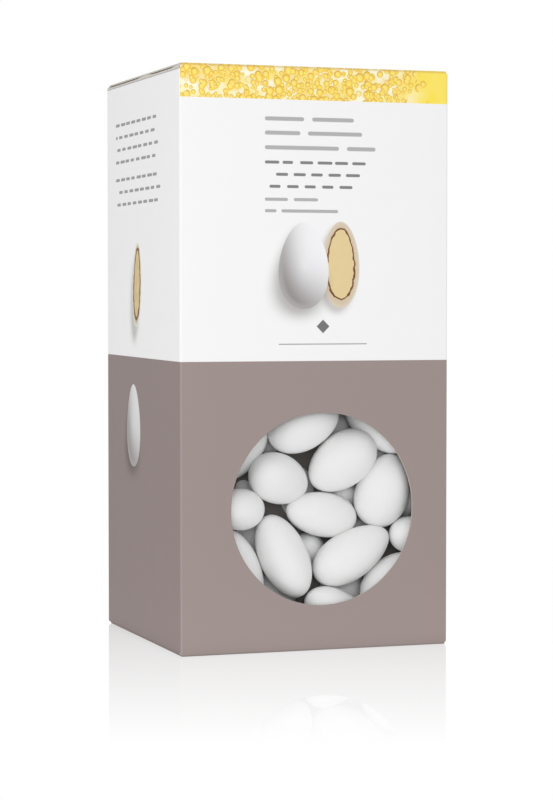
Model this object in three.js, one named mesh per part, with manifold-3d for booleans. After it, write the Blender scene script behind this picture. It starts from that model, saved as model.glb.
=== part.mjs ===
// A shut window carton of sugar coated chocolate almonds: one sheet of board folded to a tall box with a
// round window in the lower half of its front, a clear film glued behind the window, and the white almonds
// that press against the film. Millimetres, +Z up, the front faces -Y, the origin is at the bottom centre.
import * as THREE from 'three';
import { mergeVertices } from 'three/addons/utils/BufferGeometryUtils.js';
import Module from 'manifold-3d';

const wasm = await Module();
wasm.setup();

// The box
const WIDTH = 100;
const DEPTH = 95;
const HEIGHT = 205;
const BOARD = 0.5;
const CREASE_RADIUS = 0.8; // outside of a fold
const CREASE_STEPS = 5;

// The window and its film
const WINDOW_RADIUS = 34;
const WINDOW_X = 2.5;
const WINDOW_Z = 50;
const WINDOW_SIDES = 72;
const FILM_SIDE = 84;
const FILM_THICKNESS = 0.3;

// The closures at the top and the bottom, which are alike
const CLOSURE_GAP = 0.5; // between the lid and the dust flaps under it
const LID_INSET = 0.6; // from the side panels' faces to the lid's cut edges
const DUST_FLAP_LENGTH = 30;
const DUST_FLAP_FRONT_GAP = 1.1;
const DUST_FLAP_BACK_GAP = 2;
const TUCK_FLAP_LENGTH = 18;
const TUCK_FLAP_INSET = 5;
const TUCK_CORNER = 4;

// The glued joint at the back right corner
const GLUE_FLAP_WIDTH = 14;
const GLUE_FLAP_TAPER = 8;
const GLUE_STUB = 2.5;
const RAW_EDGE_INSET = 0.2;

// The heap: what one kilogram of almonds fills
const CLEARANCE = 0.3;
const HEAP_TOP = 158;
const HEAP_SIDE_GAP = 0.9;
const HEAP_BACK_GAP = 1.2;
const CORE_SET_BACK = 9;
const ALMOND_SIDES = 14;
const ALMOND_RINGS = 9;
const THICKNESS_PER_WIDTH = 0.82;

const OVERLAP = 0.3; // how far two joined lengths of board run into each other
const halfWidth = WIDTH / 2;
const halfDepth = DEPTH / 2;
const innerRadius = CREASE_RADIUS - BOARD;
const sideTop = HEIGHT - BOARD - CLOSURE_GAP; // top face of the dust flaps
const sleeveTop = sideTop - CREASE_RADIUS;
const filmFront = -halfDepth + BOARD + CLEARANCE;
const heapFront = filmFront + FILM_THICKNESS + CLEARANCE;

function solidOf(geometry) {
  const bare = geometry.clone();
  bare.deleteAttribute('normal');
  bare.deleteAttribute('uv');
  const merged = mergeVertices(bare, 1e-4);
  return new wasm.Manifold(new wasm.Mesh({
    numProp: 3,
    vertProperties: new Float32Array(merged.attributes.position.array),
    triVerts: new Uint32Array(merged.index.array),
  }));
}

function geometryOf(solid) {
  const mesh = solid.getMesh();
  const geometry = new THREE.BufferGeometry();
  geometry.setAttribute('position', new THREE.BufferAttribute(new Float32Array(mesh.vertProperties), 3));
  geometry.setIndex(new THREE.BufferAttribute(new Uint32Array(mesh.triVerts), 1));
  geometry.computeVertexNormals();
  return geometry;
}

function joined(solids) {
  return solids.reduce((whole, next) => whole.add(next));
}

// Points on a quarter of a fold, in whichever turning sense the two angles give
function quarter(x, y, radius, fromDegrees, toDegrees) {
  const points = [];
  for (let step = 0; step <= CREASE_STEPS; step += 1) {
    const degrees = THREE.MathUtils.lerp(fromDegrees, toDegrees, step / CREASE_STEPS);
    const angle = THREE.MathUtils.degToRad(degrees);
    points.push([x + radius * Math.cos(angle), y + radius * Math.sin(angle)]);
  }
  return points;
}

function outline(points) {
  return new THREE.Shape(points.map(([x, y]) => new THREE.Vector2(x, y)));
}

// Extrudes along one axis. A profile for X holds (y, z), one for Y holds (x, z), one for Z holds (x, y).
function extruded(shape, axis, from, to) {
  const geometry = new THREE.ExtrudeGeometry(shape, { depth: to - from, bevelEnabled: false });
  const [x, y, z] = [new THREE.Vector3(1, 0, 0), new THREE.Vector3(0, 1, 0), new THREE.Vector3(0, 0, 1)];
  const turn = new THREE.Matrix4();
  if (axis === 'x') {
    turn.makeBasis(y, z, x).setPosition(from, 0, 0);
  } else if (axis === 'y') {
    turn.makeBasis(x, z, y.clone().negate()).setPosition(0, to, 0);
  } else {
    turn.setPosition(0, 0, from);
  }
  return geometry.applyMatrix4(turn);
}

// The four upright panels as one ring of board. The right panel folds in behind the back panel, whose cut
// edge stays in sight at that corner.
function sleeve() {
  const x = halfWidth - CREASE_RADIUS;
  const y = halfDepth - CREASE_RADIUS;
  const glueFace = halfDepth - BOARD;
  const outer = [
    ...quarter(x, -y, CREASE_RADIUS, -90, 0),
    ...quarter(x, y - BOARD, CREASE_RADIUS, 0, 90),
    [halfWidth - RAW_EDGE_INSET, glueFace],
    [halfWidth - RAW_EDGE_INSET, halfDepth],
    ...quarter(-x, y, CREASE_RADIUS, 90, 180),
    ...quarter(-x, -y, CREASE_RADIUS, 180, 270),
  ];
  const inner = [
    ...quarter(x, -y, innerRadius, -90, 0),
    ...quarter(x, y - BOARD, innerRadius, 0, 90),
    [halfWidth - GLUE_STUB, glueFace - BOARD],
    [halfWidth - GLUE_STUB, glueFace],
    ...quarter(-x, y, innerRadius, 90, 180),
    ...quarter(-x, -y, innerRadius, 180, 270),
  ];
  const ring = outline(outer);
  ring.holes.push(outline(inner));
  return extruded(ring, 'z', HEIGHT - sleeveTop, sleeveTop);
}

function glueFlap() {
  const right = halfWidth - GLUE_STUB + OVERLAP;
  const left = halfWidth - GLUE_FLAP_WIDTH;
  const low = TUCK_FLAP_LENGTH + TUCK_CORNER;
  const face = [
    [right, low],
    [right, HEIGHT - low],
    [left, HEIGHT - low - GLUE_FLAP_TAPER],
    [left, low + GLUE_FLAP_TAPER],
  ];
  return extruded(outline(face), 'y', halfDepth - 2 * BOARD, halfDepth - BOARD + OVERLAP / 2);
}

// Turns a profile that is drawn for the top closure over for the bottom one
function atEnd(points, end) {
  return points.map(([across, z]) => [across, end === 'top' ? z : HEIGHT - z]);
}

// The lid or the base: it runs up from the front panel, over a fold, back, and over a second fold
function endPanel(end) {
  const front = -halfDepth;
  const back = halfDepth - BOARD - CLEARANCE;
  const foldZ = HEIGHT - CREASE_RADIUS;
  const profile = [
    [front, sleeveTop - OVERLAP],
    ...quarter(front + CREASE_RADIUS, foldZ, CREASE_RADIUS, 180, 90),
    ...quarter(back - CREASE_RADIUS, foldZ, CREASE_RADIUS, 90, 0),
    [back, foldZ - OVERLAP],
    [back - BOARD, foldZ - OVERLAP],
    ...quarter(back - CREASE_RADIUS, foldZ, innerRadius, 0, 90),
    ...quarter(front + CREASE_RADIUS, foldZ, innerRadius, 90, 180),
    [front + BOARD, sleeveTop - OVERLAP],
  ];
  return extruded(outline(atEnd(profile, end)), 'x', -halfWidth + LID_INSET, halfWidth - LID_INSET);
}

// The tongue that goes down inside the back panel
function tuckFlap(end) {
  const side = halfWidth - TUCK_FLAP_INSET;
  const root = HEIGHT - CREASE_RADIUS;
  const tip = root - TUCK_FLAP_LENGTH;
  const face = [
    [-side, root],
    [-side, tip + TUCK_CORNER],
    [-side + TUCK_CORNER, tip],
    [side - TUCK_CORNER, tip],
    [side, tip + TUCK_CORNER],
    [side, root],
  ];
  const outside = halfDepth - BOARD - CLEARANCE;
  return extruded(outline(atEnd(face, end)), 'y', outside - BOARD, outside);
}

// The back panel's cut edge stands up behind the tuck flap's fold
function backEdge(end) {
  const side = halfWidth - CREASE_RADIUS;
  const top = HEIGHT - BOARD;
  const face = [[-side, sleeveTop - OVERLAP], [side, sleeveTop - OVERLAP], [side, top], [-side, top]];
  return extruded(outline(atEnd(face, end)), 'y', halfDepth - BOARD, halfDepth);
}

// A dust flap folds in from a side panel, under the lid or over the base
function dustFlap(end, side) {
  const foldX = halfWidth - CREASE_RADIUS;
  const profile = [
    [halfWidth, sleeveTop - OVERLAP],
    ...quarter(foldX, sleeveTop, CREASE_RADIUS, 0, 90),
    [foldX - DUST_FLAP_LENGTH, sideTop],
    [foldX - DUST_FLAP_LENGTH, sideTop - BOARD],
    ...quarter(foldX, sleeveTop, innerRadius, 90, 0),
    [halfWidth - BOARD, sleeveTop - OVERLAP],
  ];
  const sided = profile.map(([x, z]) => [side * x, z]);
  return extruded(
    outline(atEnd(sided, end)), 'y', -halfDepth + DUST_FLAP_FRONT_GAP, halfDepth - DUST_FLAP_BACK_GAP,
  );
}

function windowPlug() {
  const circle = new THREE.Shape();
  circle.absarc(WINDOW_X, WINDOW_Z, WINDOW_RADIUS, 0, 2 * Math.PI);
  const points = circle.getSpacedPoints(WINDOW_SIDES).slice(0, WINDOW_SIDES);
  return extruded(new THREE.Shape(points), 'y', -halfDepth - BOARD, -halfDepth + 2 * BOARD);
}

function cartonGeometry() {
  const lengths = [sleeve(), glueFlap()];
  for (const end of ['top', 'bottom']) {
    lengths.push(endPanel(end), tuckFlap(end), backEdge(end), dustFlap(end, -1), dustFlap(end, 1));
  }
  return geometryOf(joined(lengths.map(solidOf)).subtract(solidOf(windowPlug())));
}

function filmGeometry() {
  const half = FILM_SIDE / 2;
  const corner = TUCK_CORNER;
  const face = [
    ...quarter(WINDOW_X + half - corner, WINDOW_Z - half + corner, corner, -90, 0),
    ...quarter(WINDOW_X + half - corner, WINDOW_Z + half - corner, corner, 0, 90),
    ...quarter(WINDOW_X - half + corner, WINDOW_Z + half - corner, corner, 90, 180),
    ...quarter(WINDOW_X - half + corner, WINDOW_Z - half + corner, corner, 180, 270),
  ];
  return extruded(outline(face), 'y', filmFront, filmFront + FILM_THICKNESS);
}

// The almonds at the window, each by where its middle shows. turn is the slope of its long axis to the
// right, lean tips that end away from the window, taper narrows that end, setBack is its gap to the film.
const SHOWN_ALMONDS = [
  { x: -1, z: 79, setBack: 1.5, length: 27, width: 17.5, turn: 22, lean: 0, taper: 0.09 },
  { x: 13.5, z: 66.5, setBack: 0, length: 27.5, width: 19.5, turn: 37, lean: -8, taper: -0.09 },
  { x: -10.5, z: 60.5, setBack: 0, length: 22.5, width: 18.5, turn: 160, lean: 38, taper: -0.1 },
  { x: 29.5, z: 55, setBack: 2.5, length: 27.5, width: 19.5, turn: 75, lean: -8, taper: 0.14 },
  { x: 6.5, z: 47, setBack: 3.5, length: 27, width: 16, turn: -10, lean: 4, taper: -0.09 },
  { x: -25.5, z: 50, setBack: 0, length: 21, width: 15.5, turn: -5, lean: 15, taper: -0.08 },
  { x: -8.5, z: 32.5, setBack: 1.5, length: 32, width: 17, turn: -67, lean: -5, taper: 0.04 },
  { x: 16.5, z: 32.5, setBack: 0, length: 31, width: 17.5, turn: 30, lean: -3, taper: 0.14 },
  { x: 39.5, z: 39, setBack: 1.5, length: 21, width: 14, turn: 0, lean: 35, taper: 0.12 },
  { x: 32, z: 22.5, setBack: 1.5, length: 25, width: 17, turn: 43, lean: 0, taper: 0.1 },
  { x: 12, z: 12, setBack: 2.5, length: 28, width: 15, turn: -24, lean: -3, taper: 0.12 },
  { x: -25.5, z: 29, setBack: 3, length: 30, width: 16, turn: -65, lean: -2, taper: 0.1 },
  { x: -27, z: 71, setBack: 1, length: 29, width: 16, turn: 44, lean: -3, taper: 0.1 },
  { x: 27.5, z: 80.5, setBack: 7, length: 29, width: 17, turn: -54, lean: 4, taper: 0.14 },
];

// Almonds of the next layer, which show only in the gaps
const NEXT_ALMONDS = [
  { x: 19, z: 52, setBack: 7, length: 26, width: 17, turn: 60, lean: 0, taper: 0.1 },
  { x: 4, z: 38, setBack: 6.5, length: 26, width: 17, turn: 80, lean: 0, taper: 0.1 },
  { x: 22, z: 16, setBack: 7.5, length: 27, width: 17, turn: 15, lean: 0, taper: 0.1 },
  { x: 12, z: 80, setBack: 8, length: 26, width: 16, turn: 70, lean: 0, taper: 0.1 },
  { x: -20, z: 66, setBack: 8, length: 26, width: 16, turn: -40, lean: 0, taper: 0.1 },
  { x: -24, z: 40, setBack: 7.5, length: 26, width: 16, turn: 10, lean: 0, taper: 0.1 },
  { x: 38, z: 47, setBack: 7, length: 26, width: 16, turn: 85, lean: 0, taper: 0.1 },
];

// One coated almond: a flattened egg
function almondGeometry({ x, z, setBack, length, width, turn, lean, taper }) {
  const geometry = new THREE.SphereGeometry(1, ALMOND_SIDES, ALMOND_RINGS);
  const position = geometry.attributes.position;
  for (let i = 0; i < position.count; i += 1) {
    const along = position.getY(i);
    const slim = 1 - taper * along;
    position.setXYZ(i, position.getX(i) * slim, along, position.getZ(i) * slim);
  }
  geometry.scale(width / 2, length / 2, (width * THICKNESS_PER_WIDTH) / 2);
  const slope = THREE.MathUtils.degToRad(turn);
  const tip = THREE.MathUtils.degToRad(lean);
  const long = new THREE.Vector3(
    Math.cos(slope) * Math.cos(tip), Math.sin(tip), Math.sin(slope) * Math.cos(tip),
  );
  const outward = new THREE.Vector3(0, -1, 0).projectOnPlane(long).normalize();
  const across = new THREE.Vector3().crossVectors(long, outward);
  geometry.applyMatrix4(new THREE.Matrix4().makeBasis(across, long, outward));
  geometry.computeBoundingBox();
  return geometry.translate(x, heapFront + setBack - geometry.boundingBox.min.y, z);
}

// The rest of the heap, plain because the board hides it, up to the level that the contents reach
function heapCore() {
  const side = halfWidth - BOARD - HEAP_SIDE_GAP;
  const front = heapFront + CORE_SET_BACK;
  const back = halfDepth - 2 * BOARD - HEAP_BACK_GAP;
  const floor = HEIGHT - sideTop + BOARD + HEAP_SIDE_GAP;
  const core = new THREE.BoxGeometry(2 * side, back - front, HEAP_TOP - floor);
  return core.translate(0, (front + back) / 2, (floor + HEAP_TOP) / 2);
}

function heapGeometry() {
  const almonds = [...SHOWN_ALMONDS, ...NEXT_ALMONDS].map(almondGeometry);
  return geometryOf(joined([heapCore(), ...almonds].map(solidOf)));
}

const boardFinish = new THREE.MeshStandardMaterial({ color: 0xf2f2f1, roughness: 0.55, metalness: 0 });
const filmFinish = new THREE.MeshStandardMaterial({
  color: 0xffffff, roughness: 0.05, metalness: 0, transparent: true, opacity: 0.12,
});
const sugarFinish = new THREE.MeshStandardMaterial({ color: 0xf0f0ed, roughness: 0.4, metalness: 0 });

function named(name, geometry, finish) {
  const mesh = new THREE.Mesh(geometry, finish);
  mesh.name = name;
  return mesh;
}

const pack = new THREE.Group();
pack.add(named('carton', cartonGeometry(), boardFinish));
pack.add(named('window_film', filmGeometry(), filmFinish));
pack.add(named('sugared_almonds', heapGeometry(), sugarFinish));

export default pack;
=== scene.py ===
import functools
import math
import random

import bpy
import numpy as np
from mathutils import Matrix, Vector


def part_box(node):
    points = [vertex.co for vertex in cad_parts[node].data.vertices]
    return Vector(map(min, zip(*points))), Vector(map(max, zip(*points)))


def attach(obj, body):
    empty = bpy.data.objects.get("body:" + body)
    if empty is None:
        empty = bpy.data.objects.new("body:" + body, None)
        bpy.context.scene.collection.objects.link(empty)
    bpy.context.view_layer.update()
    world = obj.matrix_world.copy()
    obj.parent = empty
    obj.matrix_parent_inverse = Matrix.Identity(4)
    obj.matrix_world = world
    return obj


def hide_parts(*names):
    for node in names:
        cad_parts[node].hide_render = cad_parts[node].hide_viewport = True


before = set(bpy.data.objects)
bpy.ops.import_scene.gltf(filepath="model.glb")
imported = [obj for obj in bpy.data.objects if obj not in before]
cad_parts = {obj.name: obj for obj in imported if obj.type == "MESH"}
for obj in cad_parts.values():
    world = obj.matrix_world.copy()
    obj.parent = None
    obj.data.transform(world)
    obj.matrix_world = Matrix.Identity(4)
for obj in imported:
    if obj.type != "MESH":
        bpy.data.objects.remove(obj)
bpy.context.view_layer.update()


# Front panel
# The face of a carton folded from one sheet of white coated board, die cut flat and creased. A round window
# is cut out of it. Its varnished print is a gold band with bubbles, a white field and a grey brown one.
MM = 0.001
BOARD = 0.5  # thickness, in millimetres as all sizes up to the floor
FOLD_RADIUS = 0.8  # outside of a fold
FOLD_STEPS = 5  # from a flat panel to the middle of its fold
HALF_FOLD = FOLD_RADIUS * math.pi / 4
carton_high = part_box("carton")[1]
HALF_WIDTH = carton_high.x / MM
HALF_DEPTH = carton_high.y / MM
HEIGHT = carton_high.z / MM
FLAT_WIDTH = HALF_WIDTH - FOLD_RADIUS  # from the middle of a panel to where its fold begins
FLAT_DEPTH = HALF_DEPTH - FOLD_RADIUS
LID_GAP, BASE_GAP = 0.5, 0.05  # between the lid or the base and the dust flaps
SIDE_TOP = HEIGHT - BOARD - LID_GAP - FOLD_RADIUS  # where a side panel starts to fold over
SIDE_BOTTOM = BOARD + BASE_GAP + FOLD_RADIUS
CORNER_TOP, CORNER_BOTTOM = HEIGHT - FOLD_RADIUS, FOLD_RADIUS  # ends of the folds between upright panels
X = Vector((1, 0, 0))
Y = Vector((0, 1, 0))
Z = Vector((0, 0, 1))
PRINT_MAP = "print"  # the flat sheet's own coordinates
DIGITS = 4  # decimals that tell corners apart


def steps(low, high, count):
    return [low + (high - low) * i / count for i in range(count + 1)]


def lines(*groups):
    """Sorted lines of a cutting grid, each only once."""
    return sorted({round(value, DIGITS) for group in groups for value in group})


def cells(across, up, kept, shaped=None):
    """Four sided pieces of flat board between the lines. kept says which stay, shaped moves their corners."""
    quads = []
    for left, right in zip(across, across[1:]):
        for low, high in zip(up, up[1:]):
            if kept((left + right) / 2, (low + high) / 2):
                corners = [(left, low), (right, low), (right, high), (left, high)]
                quads.append([shaped(*corner) if shaped else corner for corner in corners])
    return quads


def folded(distance, low, high):
    """Flat from low to high, and past them over a fold and straight on. Gives along, inward and the turn."""
    past = max(low - distance, distance - high, 0.0)
    side = 1 if distance > high else -1
    turn = min(past / FOLD_RADIUS, math.pi / 2)
    along = min(max(distance, low), high) + side * FOLD_RADIUS * math.sin(turn)
    inward = FOLD_RADIUS * (1 - math.cos(turn)) + max(past - FOLD_RADIUS * math.pi / 2, 0.0)
    return along, inward, side * turn


def board_panel(name, quads, across, up, face, flat_across, flat_up, materials, sheet_shift=0.0, warp=None):
    """Folds a flat outline into place. across and up point along its printed face, which lies the distance
    face from the origin, and the pairs say between which lines the panel is flat. The materials are those
    of the outside, the inside and the cut edge."""
    outward = across.cross(up)
    flat = {}
    corners = [
        [flat.setdefault((round(u, DIGITS), round(v, DIGITS)), len(flat)) for u, v in quad] for quad in quads
    ]
    outer = []
    inner = []
    for u, v in flat:
        along, in_across, turn_across = folded(u, *flat_across)
        height, in_up, turn_up = folded(v, *flat_up)
        point = across * along + up * height + outward * (face - in_across - in_up)
        if warp:
            point += warp(u, v)
        flatness = math.cos(turn_across) * math.cos(turn_up)
        normal = outward * flatness + across * math.sin(turn_across) + up * math.sin(turn_up)
        outer.append(point)
        inner.append(point - normal.normalized() * BOARD)
    count = len(flat)
    edges = {(quad[i], quad[(i + 1) % 4]) for quad in corners for i in range(4)}
    rim = [(a, b) for a, b in sorted(edges) if (b, a) not in edges]
    cut = [(b, a, a + count, b + count) for a, b in rim]
    inside = [[i + count for i in reversed(quad)] for quad in corners]
    mesh = bpy.data.meshes.new(name)
    mesh.from_pydata([point * MM for point in outer + inner], [], [*corners, *inside, *cut])
    for polygon in mesh.polygons:
        kind = 0 if polygon.index < len(quads) else 1 if polygon.index < 2 * len(quads) else 2
        polygon.material_index = kind
        polygon.use_smooth = kind < 2
    sharp = {tuple(sorted(pair)) for a, b in rim for pair in ((a, b), (a + count, b + count))}
    for edge in mesh.edges:
        edge.use_edge_sharp = tuple(sorted(edge.vertices)) in sharp
    sheet = mesh.uv_layers.new(name=PRINT_MAP)
    places = list(flat)
    for loop in mesh.loops:
        u, v = places[loop.vertex_index % count]
        sheet.uv[loop.index].vector = (u, v + sheet_shift)
    for material in materials:
        mesh.materials.append(material)
    panel = bpy.data.objects.new(name, mesh)
    bpy.context.scene.collection.objects.link(panel)
    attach(panel, "root")
    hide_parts("carton")


EDGE = 0.12  # softness of a printed edge
SHARP = 0.001  # a step with no softness to speak of
WHITE = (1.0, 1.0, 1.0, 1.0)


class Wire:
    """A value on its way through a material's nodes. Python's operators on it add Math nodes."""

    def __init__(self, tree, socket=None):
        self.tree = tree
        self.socket = socket

    def feed(self, node, values):
        for key, value in values.items():
            if isinstance(value, Wire):
                self.tree.links.new(value.socket, node.inputs[key])
            else:
                node.inputs[key].default_value = value

    def add(self, kind, settings=None, values=None, out=0):
        """Any node: its kind, its settings, which are set first, and the values or wires of its sockets."""
        node = self.tree.nodes.new(kind)
        for key, value in (settings or {}).items():
            setattr(node, key, value)
        self.feed(node, values or {})
        return Wire(self.tree, node.outputs[out])

    def math(self, operation, *values, clamp=False):
        settings = {"operation": operation, "use_clamp": clamp}
        return self.add("ShaderNodeMath", settings, dict(enumerate(values)))

    def __add__(self, other):
        return self.math("ADD", self, other)

    def __sub__(self, other):
        return self.math("SUBTRACT", self, other)

    def __rsub__(self, other):
        return self.math("SUBTRACT", other, self)

    def __mul__(self, other):
        return self.math("MULTIPLY", self, other)

    def __truediv__(self, other):
        return self.math("DIVIDE", self, other)

    def __abs__(self):
        return self.math("ABSOLUTE", self)

    __radd__ = __add__
    __rmul__ = __mul__

    def clamped(self):
        return self.math("ADD", self, 0.0, clamp=True)

    def floor(self):
        return self.math("FLOOR", self)

    def root(self):
        return self.math("SQRT", self)

    def least(self, other):
        return self.math("MINIMUM", self, other)

    def most(self, other):
        return self.math("MAXIMUM", self, other)

    def below(self, limit, soft=EDGE):
        """1 where this is less than the limit, 0 where it is more, with a soft step between."""
        return ((limit - self) * (1 / soft) + 0.5).clamped()

    def above(self, limit, soft=EDGE):
        return ((self - limit) * (1 / soft) + 0.5).clamped()

    def rise(self, low, high):
        """A smooth step from 0 at low to 1 at high."""
        settings = {"interpolation_type": "SMOOTHSTEP"}
        return self.add("ShaderNodeMapRange", settings, {"Value": self, 1: low, 2: high})

    def chance(self, seed):
        """A fixed random number for each whole number."""
        return self.add("ShaderNodeTexWhiteNoise", {"noise_dimensions": "1D"}, {"W": self + seed})

    def parts(self):
        """The first two parts of a vector."""
        return [self.add("ShaderNodeSeparateXYZ", None, {0: self}, out=i) for i in range(2)]

    def along(self, way):
        """How far a vector reaches in a direction."""
        return self.add("ShaderNodeVectorMath", {"operation": "DOT_PRODUCT"}, {0: self, 1: way}, out="Value")

    def grain(self, size, detail=2.0):
        """Soft random waves of about that size over this place, from 0 to 1 round 0.5."""
        return self.add("ShaderNodeTexNoise", None, {"Vector": self, "Scale": 1 / size, "Detail": detail})


def paint(red, green, blue):
    """A colour as a screen shows it, 0 to 255, as the linear colour that shaders use."""
    shares = [value / 255 for value in (red, green, blue)]
    linear = [s / 12.92 if s <= 0.04045 else ((s + 0.055) / 1.055) ** 2.4 for s in shares]
    return (*linear, 1.0)


def mixed(share, first, second, blend="MIX"):
    """The first colour where share is 0 and the second where it is 1."""
    wire = next(value for value in (share, first, second) if isinstance(value, Wire))
    settings = {"data_type": "RGBA", "blend_type": blend}
    return wire.add("ShaderNodeMix", settings, {0: share, 6: first, 7: second}, out=2)


def new_material(name, **constants):
    """A material, the shader in it and a wire to start from. The constants go on the shader itself."""
    material = bpy.data.materials.new(name)
    material.use_nodes = True
    shader = material.node_tree.nodes["Principled BSDF"]
    start = Wire(material.node_tree)
    start.feed(shader, {key.replace("_", " "): value for key, value in constants.items()})
    return material, shader, start


def bare_board(name, roughness, fleck, first, second):
    """Unprinted board with faint flecks of that size between two tones."""
    material, shader, start = new_material(name, Roughness=roughness, Specular_IOR_Level=0.2)
    place = start.add("ShaderNodeUVMap", {"uv_map": PRINT_MAP})
    start.feed(shader, {"Base Color": mixed(place.grain(fleck), first, second)})
    return material


VARNISH_GLOSS = 0.12
VARNISH_ROUGHNESS, VARNISH_VARIES = 0.45, 0.1
FIBRE = 0.35  # size of the faint unevenness under the varnish
FIBRE_DEPTH, FIBRE_RELIEF = 0.004, 0.25
MOTTLE = 9.0  # size of the clouds of slightly darker print
MOTTLE_TONE = (0.985, 0.985, 0.985, 1.0)


def printed_board(name, colouring):
    """White board, printed as colouring(across, up, place) says, with a faint mottle and a satin varnish."""
    material, shader, start = new_material(name, Specular_IOR_Level=VARNISH_GLOSS)
    place = start.add("ShaderNodeUVMap", {"uv_map": PRINT_MAP})
    cloud = place.grain(MOTTLE)
    fibres = place.grain(FIBRE, detail=3.0)
    relief = {"Height": fibres, "Strength": FIBRE_RELIEF, "Distance": FIBRE_DEPTH * MM}
    print_colour = colouring(*place.parts(), place)
    start.feed(shader, {
        "Base Color": mixed(1.0, print_colour, mixed(cloud, MOTTLE_TONE, WHITE), "MULTIPLY"),
        "Roughness": VARNISH_ROUGHNESS + cloud * VARNISH_VARIES,
        "Normal": start.add("ShaderNodeBump", None, relief),
    })
    return material


board_inside = bare_board("unprinted_board_inside", 0.8, 1.2, paint(222, 220, 214), paint(234, 233, 229))
board_edge = bare_board("cut_board_edge", 0.85, 0.6, paint(196, 190, 181), paint(220, 216, 208))

WHITE_PRINT = paint(246, 246, 246)
TAUPE_PRINT = paint(158, 144, 141)
FIELD_BREAK = 102.2  # height where the white field meets the grey brown one
BAND_FOOT = 193.3  # lower edge of the gold band
WINDOW_X, WINDOW_Z, WINDOW_RADIUS = 2.5, 50.0, 34.0
# Pale spots along the folds: cracked print, and a painted highlight on the bend as well.
FOLD_PALE_EDGE = 0.7  # width over which the print fades towards the middle of a fold
FOLD_PALE_LEAST, FOLD_PALE_VARIES, FOLD_PALE_SPOT = 0.02, 0.12, 0.5  # how much it fades, and the size of its spots
FOLD_WEAR_AND_HIGHLIGHT = paint(240, 236, 232)


def fields(up, lower=TAUPE_PRINT):
    """White above and grey brown below."""
    return mixed(up.below(FIELD_BREAK), WHITE_PRINT, lower)


def worn_and_highlit_folds(colour, across, place, low, high):
    """The print is a little lighter where the board is bent: cracked print, and a painted highlight on the
    bend as well.
    """
    near = (across - low).least(high - across)
    spots = FOLD_PALE_LEAST + place.grain(FOLD_PALE_SPOT) * FOLD_PALE_VARIES
    return mixed(near.below(-HALF_FOLD / 2, FOLD_PALE_EDGE) * spots, colour, FOLD_WEAR_AND_HIGHLIGHT)


def round_bar(across, up, left, right, middle, thick):
    """How far a place is outside a bar with round ends."""
    past = ((left + thick / 2) - across).most(across - (right - thick / 2)).most(0.0)
    off = up - middle
    return (past * past + off * off).root() - thick / 2


ROW_SHIFT = 0.37  # how far a row is set off from the one above, in bars
ROW_SEED = 17.0  # keeps the random numbers of the rows apart
BAR_LEAST, BAR_VARIES = 0.6, 0.28  # how much of its room a bar takes up


def bar_rows(across, up, left, right, top, pitch, rows, thick, length, seed):
    """Rows of short bars of uneven length, each row set off a little from the one above. length is the room
    for each bar. At the right end, a bar that would reach too far is left out."""
    row = ((top - up) / pitch).floor()
    off = (top - up) - row * pitch - pitch / 2
    index = ((across - left) / length + row * ROW_SHIFT).floor()
    share = BAR_LEAST + (index + row * ROW_SEED).chance(seed) * BAR_VARIES
    start = (index - row * ROW_SHIFT) * length + left
    stop = start + share * length
    middle = (start.most(left) + stop) * 0.5
    half = (stop - start.most(left)) * 0.5
    past = (abs(across - middle) - half + thick / 2).most(0.0)
    bar = ((past * past + off * off).root() - thick / 2).below(0.0)
    whole = half.above(thick, SHARP) * stop.below(right, SHARP)
    return bar * whole * row.above(-0.5) * row.below(rows - 0.5)


def egg(across, up, centre, length, width, taper):
    """An egg outline: how far out a place is, 1 on the outline, its shares across and along the egg, and
    how many millimetres it is outside."""
    along = (up - centre[1]) * (2 / length)
    side = (across - centre[0]) * (2 / width) / (1 - along * taper)
    out = (side * side + along * along).root()
    steep = (side * side * (4 / width ** 2) + along * along * (4 / length ** 2)).root()
    return out, side, along, (out - 1) * out / steep.most(0.00001)


PICTURE_EDGE = 0.3  # softness of a printed almond's outline
WHOLE_TAPER, WHOLE_SHADOW_TAPER = 0.16, 0.34
WHOLE_FALL = (1.7, 2.8)  # how far the shadow lies to the left and down
WHOLE_FADE = (-2.9, 5.1)  # and from where to where it fades, across its outline
WHOLE_SHADOW = paint(129, 125, 121)
TURN_SIDE, TURN_ALONG, TURN_OUT = -0.6, -0.62, 0.41  # what turns a place of it away from the light
SHADED = (-0.43, 1.2)  # and between which turns it grows dark
RIM_GLOW, RIM_WIDTH, RIM_TURN = 0.2, (-2.6, -0.5), (0.5, 1.2)  # its dark side is lighter again at the rim


def whole_almond_picture(colour, across, up, centre, length, width, light, dark, shadow):
    """A white egg shape, shaded towards its left and its foot, over its own soft shadow."""
    under = (centre[0] - WHOLE_FALL[0], centre[1] - WHOLE_FALL[1])
    spread = egg(across, up, under, length, width, WHOLE_SHADOW_TAPER)[3]
    shade = 1 - spread.rise(*WHOLE_FADE)
    colour = mixed(shade * shade * shadow, colour, WHOLE_SHADOW, "MULTIPLY")
    out, side, along, beyond = egg(across, up, centre, length, width, WHOLE_TAPER)
    turned = side * TURN_SIDE + along * TURN_ALONG + out * TURN_OUT
    lit_rim = beyond.rise(*RIM_WIDTH) * turned.rise(*RIM_TURN) * RIM_GLOW
    body = mixed(turned.rise(*SHADED) * (1 - lit_rim), light, dark)
    return mixed(beyond.below(0.0, PICTURE_EDGE), colour, body)


CUT_TAPER, KERNEL_TAPER = 0.08, 0.13
CUT_RIM = (-1.7, -0.1)  # where the coating takes on its outer tone, across the outline
CUT_SHADOW = paint(135, 128, 118)
KERNEL_LONG, KERNEL_WIDE = 0.83, 0.72  # of the almond's length and width
KERNEL_RIGHT, KERNEL_UP = 0.005, 0.01  # of its width and length, from its middle
RAGGED, RAGGED_SIZE = 1.4, 2.2  # how far the skin strays from an even outline, and how often
WORN_SKIN, KERNEL_CLOUD = paint(138, 98, 62), paint(231, 211, 160)


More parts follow.
